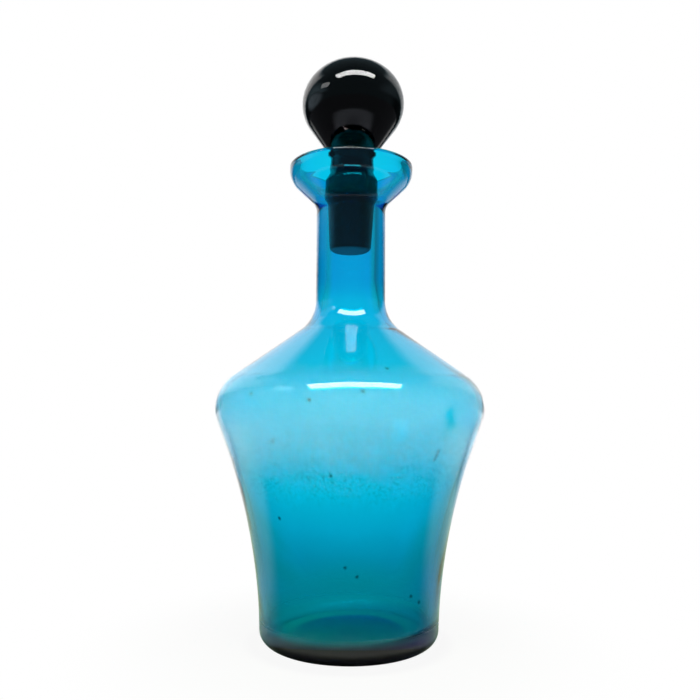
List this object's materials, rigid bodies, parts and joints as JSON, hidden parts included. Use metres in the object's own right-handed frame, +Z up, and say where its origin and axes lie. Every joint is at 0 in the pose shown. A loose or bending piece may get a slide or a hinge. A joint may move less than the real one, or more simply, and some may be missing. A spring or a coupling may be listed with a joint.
{
  "type": "carafe",
  "caption": "Stoppered glass carafe: flared body, conical shoulder, straight neck and cup-shaped mouth, closed by a solid ball stopper whose tapered shank lifts out of the neck.",
  "frame": {"origin": "on the axis, in the plane of the flat ring that the base stands on", "axes": "+Z up along the axis of the bottle and its stopper; the carafe is round, so +X and +Y are free"},
  "size_m": [0.1276, 0.1276, 0.2804],
  "materials": {
    "blue_glass": "clear turquoise blue blown glass, fire-polished, with a faint grain",
    "dark_glass": "almost black blue glass, polished, with a ground shank"
  },
  "bodies": {
    "bottle": {"bottle": "blue_glass"},
    "stopper": {"stopper": "dark_glass"}
  },
  "joints": [
    {"name": "stopper_lift", "type": "slide", "parent": "bottle", "child": "stopper", "axis": [0, 0, 1], "range_m": [0, 0.07]}
  ]
}
